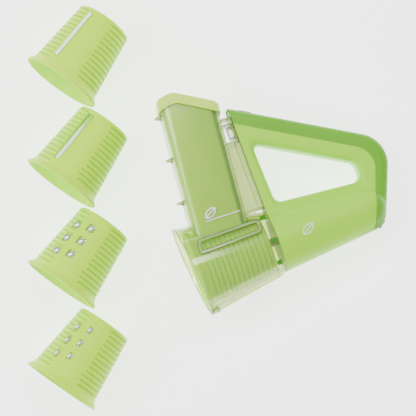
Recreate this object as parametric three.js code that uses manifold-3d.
// Cordless drum slicer lying on its side, with its four spare drums on the same table.
// Slicer frame: +X along the drum's axis from the mouth to the handle, +Y up the feed chute,
// +Z out of the side that faces up. X = 0 is the handle's front face. Millimetres.
import * as THREE from "three";
import { mergeVertices } from "three/addons/utils/BufferGeometryUtils.js";
import Module from "manifold-3d";

const wasm = await Module();
wasm.setup();

// ---- driving sizes ----
const GAP = 0.3; // clearance between pieces that touch on the real object
const RUNNING = 0.8; // clearance round pieces that move
const WALL = 2.4; // moulded shells
const CLEAR_WALL = 2.2; // clear mouldings
const BODY_LENGTH = 150; // handle, front face to the back of its corner before rounding
const FACE_RADIUS = 33.4; // round body at the handle's front face
const REAR_HEIGHT = 24; // half height of the round body at its rear end
const BODY_HALF_WIDTH = 29; // half width of the round body at its rear end
const GRIP_HALF_WIDTH = 16.5;
const GRIP_EDGE = 4.8; // rounding of the grip's long edges
const HANDLE_TOP = 147.5; // top front corner of the handle above the drum's axis
const BAND = 15.6; // width of the darker spine along the top
const PLATE = 2.6; // front plate that closes the handle
const HOUSING_LENGTH = 92;
const MOUTH_RADIUS = 47.6;
const MOUTH_LEAN = 5; // degrees that the mouth is cut off square
const BEAD = 1.4; // height of the raised bead round the throat
const CHUTE_WIDTH = 58; // along the drum's axis, outside
const CHUTE_DEPTH_REAR = 52; // across the drum's axis, outside, on the handle's side
const CHUTE_DEPTH_FRONT = 64; // the same on the mouth's side
const CHUTE_CORNER = 12;
const CHUTE_LEAN = 5.4; // degrees from square to the drum's axis
const CHUTE_REAR_X = -24.2; // chute's rear face at the level of the drum's axis
const CHUTE_FOOT_X = CHUTE_REAR_X - CHUTE_WIDTH / 2;
// highest point of the rim; degrees down to the front
const CHUTE_PEAK = { x: CHUTE_FOOT_X + 3.2, y: HANDLE_TOP + 20.3, fall: 9 };
const TOP_SLOPE = 30.5; // degrees, slope of the cap and of the handle's top line
const PUSHER_DEPTH_STOP = 4; // gap between pusher and drum
const CAP_THICKNESS = 12.5;
const CAP_OVERHANG = 2.2;
const DRUM_LENGTH = 80;
const DRUM_REAR_X = -8;
const DRUM_REAR_RADIUS = 29.6;
const DRUM_TAPER = 0.112; // growth of the radius towards the mouth
const RIM_CLEARANCE = 2.48; // between the rim of the drum and the inside of the housing
const DRUM_RIM = 9; // length of the flared rim
const DRUM_WALL = 2.2;
const HUB_RADIUS = 9;
const HUB_LENGTH = 20;
const SPINDLE_RADIUS = 4.5;
const BLADE_MARGIN = 6.5; // from each end of a blade to the drum's rear face and to its flare
const BLADE_LENGTH = DRUM_LENGTH - DRUM_RIM - 2 * BLADE_MARGIN;
const BLADE = 1; // thickness of cutting steel
const PLATE_STEEL = 0.9; // thickness of a grating plate
const MODULE = 0.9;
const SUN_TEETH = 12;
const PLANET_TEETH = 15;
const RING_TEETH = SUN_TEETH + 2 * PLANET_TEETH;
const GEAR_WIDTH = 8;
const GEAR_X = 15; // front of the gear wheels
const BACKLASH = 0.12;
const MOTOR_RADIUS = 14;
const MOTOR_LENGTH = 46;
const CELL_RADIUS = 8.3;
const CELL_LENGTH = 44;
const CELL_CLEARANCE = 1; // between the cell and the inside of the handle's back
const SCREW_RADIUS = 1.3;
const SCREW_HEAD_RADIUS = 2.6;
const BUTTON_LENGTH = 14;
const BUTTON_TRAVEL = 1.6;
const LYING_ROLL = -3.5418; // degrees about X, then LYING_PITCH about Y, that bring it to rest
const LYING_PITCH = 5.2264;
const SPARE_PITCH = 105; // between neighbouring spare drums
const SPARE_TURN = 35; // degrees, way their closed ends point
const SPARE_ROLL = 62; // degrees about their own axes
const SPARE_X = -174.3; // middle of their row
const SPARE_Y = 105.6;
const VIEW_ROLL = 20; // degrees between their row and Y
const ARC_STEPS = 4;
const ROUND = 32; // sides of a plain round piece

// ---- materials ----
const finish = (color, roughness, metalness = 0, opacity = 1) =>
  new THREE.MeshStandardMaterial({
    color,
    roughness,
    metalness,
    opacity,
    transparent: opacity < 1,
  });
const LIGHT_GREEN = finish(0xb2d07a, 0.38);
const SPINE_GREEN = finish(0x8fbd5c, 0.42);
const CLEAR_GREEN = finish(0xd2eaa0, 0.08, 0, 0.35);
const PUSHER_GREEN = finish(0xb0d06c, 0.3);
const CAP_GREEN = finish(0xd2e6a0, 0.28);
const DRUM_GREEN = finish(0xb9e072, 0.4);
const STEEL = finish(0xc9ccd2, 0.25, 1);
const DARK_GREY = finish(0x6d7076, 0.5);
const BLACK = finish(0x202224, 0.6);
const BOARD_GREEN = finish(0x1f6b3a, 0.5);
const BRASS = finish(0xc8a45a, 0.35, 1);
const CELL_BLUE = finish(0x2f6fb0, 0.4);
const NYLON_WHITE = finish(0xeeeeea, 0.5);

// ---- shapes and solids ----
const degrees = THREE.MathUtils.degToRad;

function solid(geometry) {
  const bare = geometry.index ? geometry.toNonIndexed() : geometry.clone();
  const plain = new THREE.BufferGeometry();
  plain.setAttribute("position", bare.getAttribute("position"));
  const merged = mergeVertices(plain, 1e-4);
  return new wasm.Manifold(
    new wasm.Mesh({
      numProp: 3,
      vertProperties: new Float32Array(merged.attributes.position.array),
      triVerts: new Uint32Array(merged.index.array),
    }),
  );
}

function mesh(name, shape, material) {
  const made = shape.getMesh();
  const geometry = new THREE.BufferGeometry();
  geometry.setAttribute("position", new THREE.BufferAttribute(made.vertProperties, 3));
  geometry.setIndex(new THREE.BufferAttribute(made.triVerts, 1));
  geometry.computeVertexNormals();
  const piece = new THREE.Mesh(geometry, material);
  piece.name = name;
  return piece;
}

const moved = (shape, x, y, z) => shape.translate([x, y, z]);
const union = (shapes) => shapes.reduce((all, next) => all.add(next));

// A box given by its lowest and highest corners.
function block(x0, x1, y0, y1, z0, z1) {
  const box = new THREE.BoxGeometry(x1 - x0, y1 - y0, z1 - z0);
  return solid(box.translate((x0 + x1) / 2, (y0 + y1) / 2, (z0 + z1) / 2));
}

// A round bar along X from x0 to x1, with its axis at y and z.
function rod(radius, x0, x1, y = 0, z = 0, sides = ROUND) {
  const bar = new THREE.CylinderGeometry(radius, radius, x1 - x0, sides);
  return solid(bar.rotateZ(-Math.PI / 2).translate((x0 + x1) / 2, y, z));
}

// A round bar along Z from z0 to z1.
function pin(radius, z0, z1, x, y, sides = 12) {
  const bar = new THREE.CylinderGeometry(radius, radius, z1 - z0, sides);
  return solid(bar.rotateX(Math.PI / 2).translate(x, y, (z0 + z1) / 2));
}

// A body of revolution about X, from [x, radius] points that start and end on the axis or meet.
function turned(points, sides = ROUND) {
  const area = points.reduce((sum, [x, radius], i) => {
    const [nextX, nextRadius] = points[(i + 1) % points.length];
    return sum + x * nextRadius - nextX * radius;
  }, 0);
  const ordered = area < 0 ? points : [...points].reverse();
  const profile = ordered.map(([x, radius]) => new THREE.Vector2(radius, x));
  return solid(new THREE.LatheGeometry(profile, sides).rotateZ(-Math.PI / 2));
}

// Corners [x, y, radius], anticlockwise, moved inwards by d; radii follow.
function inset(corners, d) {
  const n = corners.length;
  const edges = corners.map(([x, y], i) => {
    const [nx, ny] = corners[(i + 1) % n];
    const run = Math.hypot(nx - x, ny - y);
    const normal = [-(ny - y) / run, (nx - x) / run];
    return { normal, offset: normal[0] * x + normal[1] * y + d };
  });
  return corners.map(([, , radius], i) => {
    const { normal: a, offset: p } = edges[(i + n - 1) % n];
    const { normal: b, offset: q } = edges[i];
    const cross = a[0] * b[1] - a[1] * b[0];
    const x = (p * b[1] - q * a[1]) / cross;
    const y = (q * a[0] - p * b[0]) / cross;
    return [x, y, Math.max(radius - Math.sign(cross) * d, 0.2)];
  });
}

// The outline through corners [x, y, radius] with each corner rounded by an arc.
function outline(corners) {
  const path = new THREE.Shape();
  corners.forEach(([x, y, radius], i) => {
    const before = corners[(i + corners.length - 1) % corners.length];
    const after = corners[(i + 1) % corners.length];
    const corner = new THREE.Vector2(x, y);
    const back = new THREE.Vector2(before[0] - x, before[1] - y).normalize();
    const on = new THREE.Vector2(after[0] - x, after[1] - y).normalize();
    const half = Math.acos(THREE.MathUtils.clamp(back.dot(on), -1, 1)) / 2;
    const reach = radius / Math.tan(half);
    const turn = Math.sign(on.cross(back));
    const centre = corner.clone().addScaledVector(
      back.clone().add(on).normalize(),
      radius / Math.sin(half),
    );
    const start = corner.clone().addScaledVector(back, reach).sub(centre).angle();
    const end = corner.clone().addScaledVector(on, reach).sub(centre).angle();
    path.absarc(centre.x, centre.y, radius, start, end, turn < 0);
  });
  path.closePath();
  return path;
}

// A prism of the outline along Z, with holes, and with its long edges rounded off by bevel.
function prism(corners, z0, z1, holes = [], bevel = 0) {
  const shape = outline(bevel ? inset(corners, bevel) : corners);
  shape.holes = holes.map((hole) => outline(bevel ? inset(hole, -bevel) : hole));
  const geometry = new THREE.ExtrudeGeometry(shape, {
    depth: z1 - z0 - 2 * bevel,
    curveSegments: ARC_STEPS,
    bevelEnabled: bevel > 0,
    bevelSize: bevel,
    bevelThickness: bevel,
    bevelSegments: 3,
  });
  return solid(geometry.translate(0, 0, z0 + bevel));
}

// A prism of corners given in X and Z, standing along Y from y0 to y1.
function column(corners, y0, y1, holes = []) {
  const flat = prism(corners, y0, y1, holes);
  return flat.rotate([-90, 0, 0]);
}

// A solid through rings of equal point counts.
function loft(rings) {
  const positions = [];
  const n = rings[0].length;
  const face = (...points) => points.forEach((p) => positions.push(p.x, p.y, p.z));
  for (let r = 0; r + 1 < rings.length; r++)
    for (let i = 0; i < n; i++) {
      const j = (i + 1) % n;
      face(rings[r][i], rings[r + 1][i], rings[r + 1][j]);
      face(rings[r][i], rings[r + 1][j], rings[r][j]);
    }
  const middle = (ring) =>
    ring.reduce((sum, p) => sum.add(p), new THREE.Vector3()).divideScalar(n);
  const first = middle(rings[0]);
  const last = middle(rings[rings.length - 1]);
  for (let i = 0; i < n; i++) {
    const j = (i + 1) % n;
    face(first, rings[0][i], rings[0][j]);
    face(last, rings[rings.length - 1][j], rings[rings.length - 1][i]);
  }
  const geometry = new THREE.BufferGeometry();
  geometry.setAttribute("position", new THREE.Float32BufferAttribute(positions, 3));
  return solid(geometry);
}

// An elliptical ring square to X.
function ring(x, height, width, points = 32) {
  return Array.from({ length: points }, (_, i) => {
    const angle = (-2 * Math.PI * i) / points;
    return new THREE.Vector3(x, height * Math.cos(angle), width * Math.sin(angle));
  });
}

// ---- handle ----
const topAt = (x) => HANDLE_TOP - Math.tan(degrees(TOP_SLOPE)) * x;
const HANDLE_OUTLINE = [
  [0.5, -FACE_RADIUS, 1.5],
  [BODY_LENGTH - 36, -REAR_HEIGHT, 24],
  [BODY_LENGTH - 1, topAt(BODY_LENGTH - 1), 42],
  [0.5, HANDLE_TOP, 5],
];
const HOLE_FRONT = 11.5;
const HOLE_REAR = 106.3;
const holeTop = (x) => topAt(x) - 36.4; // the grip's height over the finger hole
const HOLE_OUTLINE = [
  [HOLE_FRONT + 2.4, 37.8, 5],
  [HOLE_REAR, 28.3, 9],
  [HOLE_REAR, holeTop(HOLE_REAR), 8],
  [HOLE_FRONT, holeTop(HOLE_FRONT), 8.5],
];
const CORE_OUTLINE = [
  [-10, -FACE_RADIUS - 30, 1],
  [85, -FACE_RADIUS - 30, 1],
  [BODY_LENGTH - 18.3, topAt(BODY_LENGTH - 18.3) - BAND / Math.cos(degrees(TOP_SLOPE)) + 10, 30],
  [-10, topAt(-10) - BAND / Math.cos(degrees(TOP_SLOPE)), 1],
];

// The handle's full form, made smaller all round by d. Its front stays open for d > 0.
function handleForm(d) {
  const front = d ? -10 : 0.5;
  const body = loft([
    ring(front, FACE_RADIUS - d, FACE_RADIUS - d),
    ring(40, FACE_RADIUS - 3.6 - d, FACE_RADIUS - 2 - d),
    ring(BODY_LENGTH - 28, REAR_HEIGHT - 1 - d, BODY_HALF_WIDTH - 1 - d),
    ring(BODY_LENGTH - 8, REAR_HEIGHT - 8 - d, BODY_HALF_WIDTH - 9 - d),
  ]);
  const side = inset(HANDLE_OUTLINE, d);
  if (d) [side[0][0], side[3][0], side[3][1]] = [-10, -10, topAt(-10) - d * 1.2];
  const hole = inset(HOLE_OUTLINE, -d);
  const width = GRIP_HALF_WIDTH - d;
  const trim = prism(side, -60, 60, [hole]);
  const grip = prism(side, -width, width, [hole], GRIP_EDGE - Math.min(d, 2));
  return body.intersect(trim).add(grip);
}

const SCREW_SPOTS = [[22, topAt(22) - 26.5], [70, topAt(70) - 29.8], [84, -17], [24, 27]];
const SCREWS = SCREW_SPOTS.map(([x, y]) => ({ x, y }));
const BUTTON_X = 17;
const BUTTON_Y = topAt(BUTTON_X);
const PORT = { x: 111.5, y: -20.9, turn: -55 }; // charging port, low on the spine's back

function placedOnTop(shape) {
  return moved(shape.rotate([0, 0, -TOP_SLOPE]), BUTTON_X, BUTTON_Y, 0);
}

// Shapes drawn about the port, with X pointing out of the handle.
function atPort(shape) {
  return moved(shape.rotate([0, 0, PORT.turn]), PORT.x, PORT.y, 0);
}

function handlePieces() {
  const hollow = handleForm(0).subtract(handleForm(WALL));
  const core = prism(inset(CORE_OUTLINE, GAP / 2), -70, 70);
  const coreOutside = prism(inset(CORE_OUTLINE, -GAP / 2), -70, 70);
  const skins = hollow.intersect(core);
  const bosses = union(SCREWS.map(({ x, y }) => pin(4, -GRIP_HALF_WIDTH + 1, GRIP_HALF_WIDTH - 1, x, y)));
  const inside = handleForm(WALL / 2).intersect(core);
  let body = skins.add(bosses.intersect(inside));
  for (const { x, y } of SCREWS) {
    body = body
      .subtract(pin(SCREW_RADIUS + GAP, -60, 8, x, y))
      .subtract(pin(SCREW_HEAD_RADIUS + GAP, -60, -8, x, y));
  }
  const upper = body.intersect(block(-20, 200, -100, 200, GAP / 2, 70));
  const lower = body.intersect(block(-20, 200, -100, 200, -70, -GAP / 2));
  const slot = placedOnTop(
    block(-BUTTON_LENGTH / 2 - GAP, BUTTON_LENGTH / 2 + GAP, -8, 8, -4 - GAP, 4 + GAP),
  );
  const port = atPort(block(-8, 8, -5 - GAP, 5 + GAP, -3 - GAP, 3 + GAP));
  const spine = hollow.subtract(coreOutside).subtract(slot).subtract(port);
  const pieces = [
    mesh("handle_shell_upper", largest(upper), LIGHT_GREEN),
    mesh("handle_shell_lower", largest(lower), LIGHT_GREEN),
    mesh("handle_spine", largest(spine), SPINE_GREEN),
  ];
  SCREWS.forEach(({ x, y }, i) => {
    const head = pin(SCREW_HEAD_RADIUS, -10.2, -8 - GAP, x, y, 12);
    const screw = head.add(pin(SCREW_RADIUS, -9, 7, x, y, 12)).subtract(pin(1, -11, -9.2, x, y, 6));
    pieces.push(mesh("shell_screw_" + (i + 1), screw, STEEL));
  });
  return pieces;
}

// The biggest of a shape's separate bodies: a cut can leave slivers of a boss behind.
function largest(shape) {
  return shape.decompose().sort((a, b) => b.volume() - a.volume())[0];
}

const PLATE_X = 0.5;
function frontPlate() {
  const fitting = handleForm(WALL + GAP).intersect(block(PLATE_X, PLATE_X + PLATE, -100, 200, -60, 60));
  return fitting
    .subtract(rod(SPINDLE_RADIUS + RUNNING, -20, 20))
    .subtract(block(-10, 10, CATCH_LOW - 2, CATCH_HIGH + 2, -3.5, 3.5));
}

// ---- power and drive, inside the handle ----
function gearOutline(teeth, outward, slack) {
  const pitch = (MODULE * teeth) / 2;
  const tip = pitch + outward * MODULE;
  const root = pitch - outward * 1.25 * MODULE;
  const step = (2 * Math.PI) / teeth;
  const points = [];
  const at = (radius, angle) =>
    points.push(new THREE.Vector2(radius * Math.cos(angle), radius * Math.sin(angle)));
  const slim = slack / pitch;
  for (let i = 0; i < teeth; i++) {
    const a = i * step;
    at(root, a - step * 0.36 + slim);
    at(tip, a - step * 0.12 + slim);
    at(tip, a + step * 0.12 - slim);
    at(root, a + step * 0.36 - slim);
  }
  return points;
}

function gearWheel(teeth, bore, turn = 0) {
  const shape = new THREE.Shape(gearOutline(teeth, 1, BACKLASH));
  const flat = new THREE.ExtrudeGeometry(shape, { depth: GEAR_WIDTH, bevelEnabled: false });
  const wheel = solid(flat.rotateZ(turn).rotateY(Math.PI / 2).translate(GEAR_X, 0, 0));
  return bore ? wheel.subtract(rod(bore, -50, 100, 0, 0, 20)) : wheel;
}

const RING_OUTER = (MODULE * RING_TEETH) / 2 + 4;
const ORBIT = (MODULE * (SUN_TEETH + PLANET_TEETH)) / 2;
const GEARBOX_FRONT = 5.5;
const CARRIER_X = GEAR_X - 4;
const MOTOR_X = GEAR_X + GEAR_WIDTH + 3.5;

function ringGear() {
  const shape = new THREE.Shape(gearOutline(RING_TEETH, -1, BACKLASH));
  const flat = new THREE.ExtrudeGeometry(shape, { depth: GEAR_WIDTH + 1, bevelEnabled: false });
  const teeth = solid(flat.rotateY(Math.PI / 2).translate(GEAR_X - 0.5, 0, 0));
  const pocket = rod((MODULE * RING_TEETH) / 2 + 1, GEARBOX_FRONT + 2.4, GEAR_X - 0.4);
  return rod(RING_OUTER, GEARBOX_FRONT, GEAR_X + GEAR_WIDTH + 0.5)
    .subtract(teeth)
    .subtract(pocket)
    .subtract(rod(SPINDLE_RADIUS + 3.2, 0, 20));
}

function bearing() {
  const x0 = GEARBOX_FRONT;
  return rod(SPINDLE_RADIUS + 3.2 - GAP, x0, x0 + 2.4).subtract(rod(SPINDLE_RADIUS + 0.06, 0, 20));
}

function gearboxCover() {
  const x0 = GEAR_X + GEAR_WIDTH + 0.5 + GAP;
  return rod(RING_OUTER, x0, x0 + 2.4).subtract(rod(6.5, 0, 60));
}

function spindle() {
  const plate = rod(ORBIT + 5, CARRIER_X, CARRIER_X + 3);
  const shaft = rod(SPINDLE_RADIUS, DRUM_REAR_X + 2, CARRIER_X + 1);
  const key = rod(SPINDLE_RADIUS, DRUM_REAR_X - HUB_LENGTH + 4, DRUM_REAR_X + 3, 0, 0, 6);
  const posts = planetAngles().map((angle) =>
    rod(2, CARRIER_X + 1, GEAR_X + GEAR_WIDTH, ORBIT * Math.cos(angle), ORBIT * Math.sin(angle), 16),
  );
  return union([plate, shaft, key, ...posts]);
}

function planetAngles() {
  return [0, 1, 2].map((i) => (i * 2 * Math.PI) / 3);
}

function drivePieces() {
  const pieces = [
    mesh("gearbox_ring_gear", ringGear(), NYLON_WHITE),
    mesh("gearbox_cover", gearboxCover(), NYLON_WHITE),
    mesh("spindle_bearing", bearing(), BRASS),
    mesh("spindle_and_carrier", spindle(), STEEL),
    mesh("sun_pinion", gearWheel(SUN_TEETH, 0).add(rod(1.6, GEAR_X, MOTOR_X + 8, 0, 0, 16)), BRASS),
  ];
  planetAngles().forEach((angle, i) => {
    const toothed = gearWheel(PLANET_TEETH, 2 + 0.06, Math.PI / PLANET_TEETH - Math.PI / 2);
    const placed = moved(toothed, 0, ORBIT, 0).rotate([THREE.MathUtils.radToDeg(angle), 0, 0]);
    pieces.push(mesh("planet_gear_" + (i + 1), placed, NYLON_WHITE));
  });
  const can = rod(MOTOR_RADIUS, MOTOR_X, MOTOR_X + MOTOR_LENGTH).subtract(rod(2.2, 0, MOTOR_X + 9));
  pieces.push(mesh("motor_can", can.subtract(rod(MOTOR_RADIUS - 1.5, MOTOR_X + MOTOR_LENGTH - 3, 200)), STEEL));
  const lid = rod(MOTOR_RADIUS - 1.5 - GAP, MOTOR_X + MOTOR_LENGTH - 3 + GAP, MOTOR_X + MOTOR_LENGTH + 1);
  pieces.push(mesh("motor_end_cap", lid, BLACK));
  return pieces;
}

// The cell stands along the inside of the handle's back.
const [backFoot, backTop] = [HANDLE_OUTLINE[1], HANDLE_OUTLINE[2]];
const backRun = (backTop[0] - backFoot[0]) / (backTop[1] - backFoot[1]);
const CELL_Y = 15;
const backAtCell = backFoot[0] + (CELL_Y - backFoot[1]) * backRun;
const CELL = {
  x: backAtCell - (WALL + CELL_CLEARANCE + CELL_RADIUS) * Math.hypot(1, backRun),
  y: CELL_Y,
  lean: THREE.MathUtils.radToDeg(Math.atan(backRun)),
};
function cellPieces() {
  const place = (shape) => moved(shape.rotate([0, 0, 90 - CELL.lean]), CELL.x, CELL.y, 0);
  const half = CELL_LENGTH / 2;
  const cell = rod(CELL_RADIUS, -half, half).add(rod(3, half, half + 1.5, 0, 0, 20));
  const strap = block(-8, 8, -CELL_RADIUS + 1, CELL_RADIUS - 1, -CELL_RADIUS - 1.5, -4).subtract(
    rod(CELL_RADIUS + GAP, -20, 20),
  );
  return [
    mesh("battery_cell", place(cell), CELL_BLUE),
    mesh("battery_cradle", place(strap), BLACK),
  ];
}

function switchPieces() {
  const head = block(-BUTTON_LENGTH / 2, BUTTON_LENGTH / 2, -4, 1.6, -4, 4);
  const lip = block(-BUTTON_LENGTH / 2 - 1.2, BUTTON_LENGTH / 2 + 1.2, -6, -WALL - BUTTON_TRAVEL, -5, 5);
  const box = block(-3.6, 6.4, -14, -9.4, -3, 3).add(block(1, 3, -9.5, -8.2, -1.5, 1.5));
  const board = block(3.6, 5.2, 62, 108, -9, 9);
  const chip = block(5.2 + GAP, 7, 78, 88, -4, 4);
  const socket = atPort(block(-8.5, -3, -4.6, 4.6, -2.6, 2.6).subtract(block(-7, 0, -3.8, 3.8, -1.8, 1.8)));
  return [
    mesh("power_button", placedOnTop(head.add(lip)), DARK_GREY),
    mesh("micro_switch", placedOnTop(box), BLACK),
    mesh("control_board", board, BOARD_GREEN),
    mesh("motor_driver_chip", chip, BLACK),
    mesh("charging_socket", socket, STEEL),
  ];
}

function portPlug() {
  const stem = block(-2.6, 1.2, -4.8, 4.8, -2.8, 2.8);
  const tongue = block(-5, -2, -3.4, 3.4, -1.4, 1.4);
  return atPort(stem.add(tongue));
}

// ---- steel catch between handle and chute ----
const CATCH_HIGH = HANDLE_TOP - 19;
const CATCH_LOW = CATCH_HIGH - 13.5;
function steelCatch() {
  const tongue = block(-7.4, PLATE_X + PLATE + 2, CATCH_LOW, CATCH_HIGH, -3, 3);
  const foot = block(PLATE_X + PLATE + GAP, PLATE_X + PLATE + 2, CATCH_LOW - 3, CATCH_LOW + 6, -6, 6);
  return tongue.subtract(block(-5.5, -1.5, CATCH_LOW + 3, CATCH_HIGH - 3, -4, 4)).add(foot);
}

// ---- clear drum housing ----
const housingRadius = (x) =>
  FACE_RADIUS + ((MOUTH_RADIUS - FACE_RADIUS) * -x) / HOUSING_LENGTH;

function coneShell(outset, x0, x1) {
  return turned([
    [x0, 0],
    [x0, housingRadius(x0) + outset],
    [x1, housingRadius(x1) + outset],
    [x1, 0],
  ], 48);
}

const chuteAxisX = (y) => CHUTE_FOOT_X + Math.tan(degrees(CHUTE_LEAN)) * y;
// Shapes drawn about the chute's own axis, put in place.
function inChute(shape) {
  return moved(shape.rotate([0, 0, -CHUTE_LEAN]), CHUTE_FOOT_X, 0, 0);
}

// The chute's cross-section in X and Z, made larger all round by the outset.
function chutePlan(outset) {
  const x = CHUTE_WIDTH / 2;
  const front = CHUTE_DEPTH_FRONT / 2;
  const rear = CHUTE_DEPTH_REAR / 2;
  const corners = [
    [-x, -front, CHUTE_CORNER],
    [x, -rear, CHUTE_CORNER],
    [x, rear, CHUTE_CORNER],
    [-x, front, CHUTE_CORNER],
  ];
  return inset(corners, -outset);
}

const throat = (outset) => inset([[-81, 12.5, 6], [-12.5, 13.5, 6], [-11, 27.5, 6], [-79, 27.5, 6]], -outset);

function drumHousing() {
  const front = -HOUSING_LENGTH - 14;
  const skin = coneShell(BEAD, front, -2).subtract(coneShell(-0.5, front - 5, 5));
  const bead = skin.intersect(prism(throat(0), -60, 60)).subtract(prism(throat(-2.2), -70, 70));
  const padLow = -MOUTH_RADIUS - 0.8;
  const pad = block(-HOUSING_LENGTH - 10, -HOUSING_LENGTH + 13, padLow, padLow + 6.8, -15, 15);
  const drop = THREE.MathUtils.radToDeg(Math.atan2(MOUTH_RADIUS - FACE_RADIUS, HOUSING_LENGTH));
  const rail = block(-HOUSING_LENGTH + 12, -4, -1.6, 0.8, -4, 4).rotate([0, 0, drop]);
  const outer = union([coneShell(0, front, -GAP), bead, pad, moved(rail, 0, -FACE_RADIUS, 0)]);
  const mouth = block(-60, 0, -120, 120, -80, 80).rotate([0, 0, MOUTH_LEAN]);
  return outer
    .subtract(coneShell(-CLEAR_WALL, front - 10, 10))
    .subtract(inChute(column(chutePlan(GAP), 0, 80)))
    .subtract(moved(mouth, -HOUSING_LENGTH, 0, 0));
}

// ---- clear feed chute ----
const TAB_HEIGHTS = [160, 114.5, 68.5];
const TAB_REACH = 7;
const FLANGE_TOP = HANDLE_TOP - 9.3;
const RAIL_RIBS = [FLANGE_TOP - 1.2, FLANGE_TOP - 7.2, CATCH_LOW - 3.2, 37.5];

// Everything above the rim line, raised by the rise. It falls both ways from its peak.
function above(rise) {
  const { x, y, fall } = CHUTE_PEAK;
  const reach = 150;
  const line = [
    [x, y + rise, 16],
    [x + reach, y + rise - reach * Math.tan(degrees(TOP_SLOPE)), 1],
    [x + reach, y + reach, 1],
    [x - reach, y + reach, 1],
    [x - reach, y + rise - reach * Math.tan(degrees(fall)), 1],
  ];
  return prism(line, -80, 80);
}

function chuteTube(outset, y0) {
  return inChute(column(chutePlan(outset), y0, CHUTE_PEAK.y + 40));
}

function feedChute() {
  const tube = chuteTube(0, 10).subtract(above(0));
  const flange = block(-3, -GAP, 36.3, FLANGE_TOP, -14, 14).subtract(
    block(-5, 5, CATCH_LOW - GAP, CATCH_HIGH + GAP, -3 - GAP, 3 + GAP),
  );
  const ribs = RAIL_RIBS.map((y) => block(-30, -1, y - 1.2, y + 1.2, -12, 12));
  const tabs = TAB_HEIGHTS.map((y) => {
    const plate = solid(new THREE.CylinderGeometry(12, 12, 2, 24).scale(1, 1, 1.1));
    const web = block(-TAB_REACH, 12, -6, 0, -1.2, 1.2).subtract(
      block(-20, 0, -20, 0, -2, 2).rotate([0, 0, 40]),
    );
    return inChute(moved(plate.translate([12 - TAB_REACH, 0, 0]).add(web), -CHUTE_WIDTH / 2, y, 0));
  });
  const front = -HOUSING_LENGTH - 14;
  const bore = chuteTube(-CLEAR_WALL, 0);
  const outside = coneShell(GAP, front, 20).subtract(chuteTube(GAP / 2, 0));
  return union([tube, flange, ...ribs, ...tabs])
    .subtract(bore)
    .subtract(coneShell(-CLEAR_WALL, front, 20))
    .subtract(outside);
}

// ---- pusher ----
const PUSHER_INSET = CLEAR_WALL + RUNNING;

function pusherBody() {
  const floor = inChute(block(-60, 60, -40, 46, -60, 60));
  const inner = chuteTube(-PUSHER_INSET - CLEAR_WALL, 0).subtract(floor);
  const reach = HOUSING_LENGTH + 20;
  const drumSpace = turned([
    [-reach, 0],
    [-reach, DRUM_RIM_RADIUS + PUSHER_DEPTH_STOP],
    [DRUM_MOUTH_X, DRUM_RIM_RADIUS + PUSHER_DEPTH_STOP],
    [DRUM_MOUTH_X + DRUM_RIM, drumRadius(DRUM_MOUTH_X + DRUM_RIM) + PUSHER_DEPTH_STOP],
    [0, drumRadius(0) + PUSHER_DEPTH_STOP],
    [0, 0],
  ]);
  return chuteTube(-PUSHER_INSET, 0).subtract(above(GAP)).subtract(inner).subtract(drumSpace);
}

function pusherCap() {
  const top = chuteTube(CAP_OVERHANG, 60).intersect(above(2 * GAP)).subtract(above(CAP_THICKNESS));
  const lining = -PUSHER_INSET - CLEAR_WALL - GAP;
  const plug = chuteTube(lining, 60).intersect(above(-6)).subtract(above(3));
  const hollow = chuteTube(lining - CLEAR_WALL, 0).subtract(above(CAP_THICKNESS - 2.6));
  return top.add(plug).subtract(hollow);
}

// ---- drums ----
const drumRadius = (x) => DRUM_REAR_RADIUS + (DRUM_REAR_X - x) * DRUM_TAPER;
const DRUM_MOUTH_X = DRUM_REAR_X - DRUM_LENGTH;
const DRUM_RIM_RADIUS = housingRadius(DRUM_MOUTH_X) - CLEAR_WALL - RIM_CLEARANCE;
const BLADE_ANGLES = [0, 180];

function drumBlank() {
  const rimStart = DRUM_MOUTH_X + DRUM_RIM;
  const inner = (x) => drumRadius(x) - DRUM_WALL;
  const floor = DRUM_REAR_X - 2.6;
  const shell = turned([
    [DRUM_REAR_X, SPINDLE_RADIUS + 0.5],
    [DRUM_REAR_X, DRUM_REAR_RADIUS - 2.5],
    [DRUM_REAR_X - 2.5, drumRadius(DRUM_REAR_X - 2.5)],
    [rimStart, drumRadius(rimStart)],
    [DRUM_MOUTH_X + 2.5, DRUM_RIM_RADIUS],
    [DRUM_MOUTH_X, DRUM_RIM_RADIUS],
    [DRUM_MOUTH_X, DRUM_RIM_RADIUS - DRUM_WALL],
    [DRUM_MOUTH_X + 2, DRUM_RIM_RADIUS - DRUM_WALL],
    [rimStart, inner(rimStart)],
    [floor, inner(floor)],
    [floor, HUB_RADIUS],
    [DRUM_REAR_X - HUB_LENGTH, HUB_RADIUS],
    [DRUM_REAR_X - HUB_LENGTH, SPINDLE_RADIUS + 0.5],
    [DRUM_REAR_X, SPINDLE_RADIUS + 0.5],
  ], 40);
  return shell;
}

const MIDDLE_X = (DRUM_REAR_X + DRUM_MOUTH_X + DRUM_RIM) / 2;
const SLOPE_ANGLE = THREE.MathUtils.radToDeg(Math.atan(DRUM_TAPER));

// Puts a shape drawn round the middle of the drum's wall (Y outwards, X along the wall) at an angle.
function onWall(shape, angle) {
  const lean = shape.rotate([0, 0, -SLOPE_ANGLE]);
  return moved(lean, MIDDLE_X, drumRadius(MIDDLE_X), 0).rotate([angle, 0, 0]);
}

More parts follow.
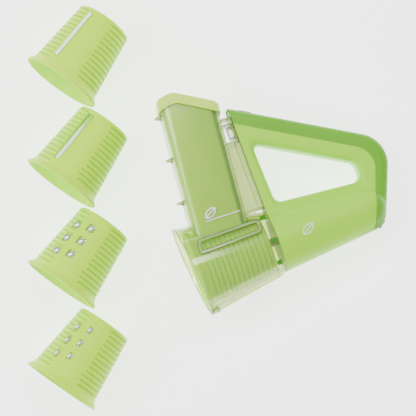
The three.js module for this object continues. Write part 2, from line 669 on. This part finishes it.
function slicerDrum(name, slot) {
  const half = BLADE_LENGTH / 2;
  let body = drumBlank();
  const blades = [];
  BLADE_ANGLES.forEach((angle, i) => {
    body = body.subtract(onWall(block(-half - 1, half + 1, -8, 8, -slot / 2, slot / 2), angle));
    const inSlot = (shape) => onWall(moved(shape.rotate([-14, 0, 0]), 0, 0.5, slot / 2 - 2.2), angle);
    const strip = block(-half, half, -BLADE / 2, BLADE / 2, -2.2, 2.2);
    const seat = block(-half - GAP, half + GAP, -BLADE / 2 - GAP, 9, -2.6, 2.6);
    body = body.subtract(inSlot(seat));
    blades.push(mesh(name + "_blade_" + (i + 1), inSlot(strip), STEEL));
  });
  return [mesh(name, body, DRUM_GREEN), ...blades];
}

// Three rows of windows share the plate's length, less a margin at both ends.
const WINDOW_PITCH = (BLADE_LENGTH - 7) / 3;

// The windows of one side, smaller all round by the inset.
function windowCuts(window, inset, angle) {
  const length = window.length / 2 - inset;
  const width = window.width / 2 - inset;
  const cuts = [];
  for (const column of [-1, 1])
    for (const row of [-1, 0, 1]) {
      const cut = block(-length, length, -9, 9, -width, width);
      cuts.push(onWall(moved(cut, row * WINDOW_PITCH + column * 2, 0, column * window.spread), angle));
    }
  return cuts;
}

// A solid of the drum's taper that stands outside its wall by the outset.
function drumSheet(outset) {
  const front = DRUM_MOUTH_X - 5;
  const rear = DRUM_REAR_X + 5;
  return turned([
    [front, 0],
    [front, drumRadius(front) + outset],
    [rear, drumRadius(rear) + outset],
    [rear, 0],
  ], 40);
}

function graterDrum(name, window) {
  const half = BLADE_LENGTH / 2;
  const plates = [];
  let body = drumBlank();
  BLADE_ANGLES.forEach((angle, i) => {
    for (const cut of windowCuts(window, 0, angle)) body = body.subtract(cut);
    const side = onWall(block(-half, half, -14, 14, -2 * window.spread, 2 * window.spread), angle);
    const outer = -DRUM_WALL - GAP;
    let plate = drumSheet(outer).subtract(drumSheet(outer - PLATE_STEEL)).intersect(side);
    for (const cut of windowCuts(window, 1, angle)) plate = plate.subtract(cut);
    plates.push(mesh(name + "_plate_" + (i + 1), largest(plate), STEEL));
  });
  return [mesh(name, body, DRUM_GREEN), ...plates];
}

const THIN_SLOT = 5;
const THICK_SLOT = 8;
const COARSE = { length: 9, width: 8, spread: 8 };
const FINE = { length: 9, width: 4.5, spread: 7 };

// ---- assembly ----
const slicer = new THREE.Group();
slicer.add(...handlePieces());
slicer.add(mesh("front_plate", frontPlate(), SPINE_GREEN));
slicer.add(...drivePieces(), ...cellPieces(), ...switchPieces());
slicer.add(mesh("port_plug", portPlug(), BLACK));
slicer.add(mesh("steel_catch", steelCatch(), STEEL));
slicer.add(mesh("drum_housing", drumHousing(), CLEAR_GREEN));
slicer.add(mesh("feed_chute", feedChute(), CLEAR_GREEN));
slicer.add(mesh("pusher_body", pusherBody(), PUSHER_GREEN));
slicer.add(mesh("pusher_cap", pusherCap(), CAP_GREEN));
slicer.add(...slicerDrum("working_drum", THICK_SLOT));

// The slicer rests on the housing's rim, the cap's edge and the back of the handle.
slicer.rotation.set(degrees(LYING_ROLL), degrees(LYING_PITCH), 0, "YXZ");

// A spare drum lies on its rim and its closed end, the closed end towards SPARE_TURN.
function spare(pieces, place) {
  const drum = new THREE.Group();
  drum.add(...pieces);
  drum.rotation.x = degrees(SPARE_ROLL);
  drum.position.x = DRUM_LENGTH / 2 - DRUM_REAR_X;
  const lying = new THREE.Group();
  lying.add(drum);
  const rimDrop = DRUM_RIM_RADIUS - drumRadius(DRUM_REAR_X - 2.5);
  const tilt = Math.atan2(rimDrop, DRUM_LENGTH - 5);
  lying.rotation.set(0, tilt, degrees(SPARE_TURN), "ZYX");
  const along = SPARE_PITCH * (1.5 - place);
  lying.position.set(SPARE_X, SPARE_Y, 0);
  lying.position.x += along * Math.sin(degrees(VIEW_ROLL));
  lying.position.y += along * Math.cos(degrees(VIEW_ROLL));
  return lying;
}

const spares = [
  spare(slicerDrum("thin_slicing_drum", THIN_SLOT), 0),
  spare(slicerDrum("thick_slicing_drum", THICK_SLOT), 1),
  spare(graterDrum("coarse_grating_drum", COARSE), 2),
  spare(graterDrum("fine_grating_drum", FINE), 3),
];

// Everything stands on Z = 0, centred on the origin.
const group = new THREE.Group();
for (const item of [slicer, ...spares]) {
  item.updateMatrixWorld(true);
  item.position.z -= new THREE.Box3().setFromObject(item, true).min.z;
  group.add(item);
}
group.updateMatrixWorld(true);
const middle = new THREE.Box3().setFromObject(group, true).getCenter(new THREE.Vector3());
group.position.set(-middle.x, -middle.y, 0);

export default group;
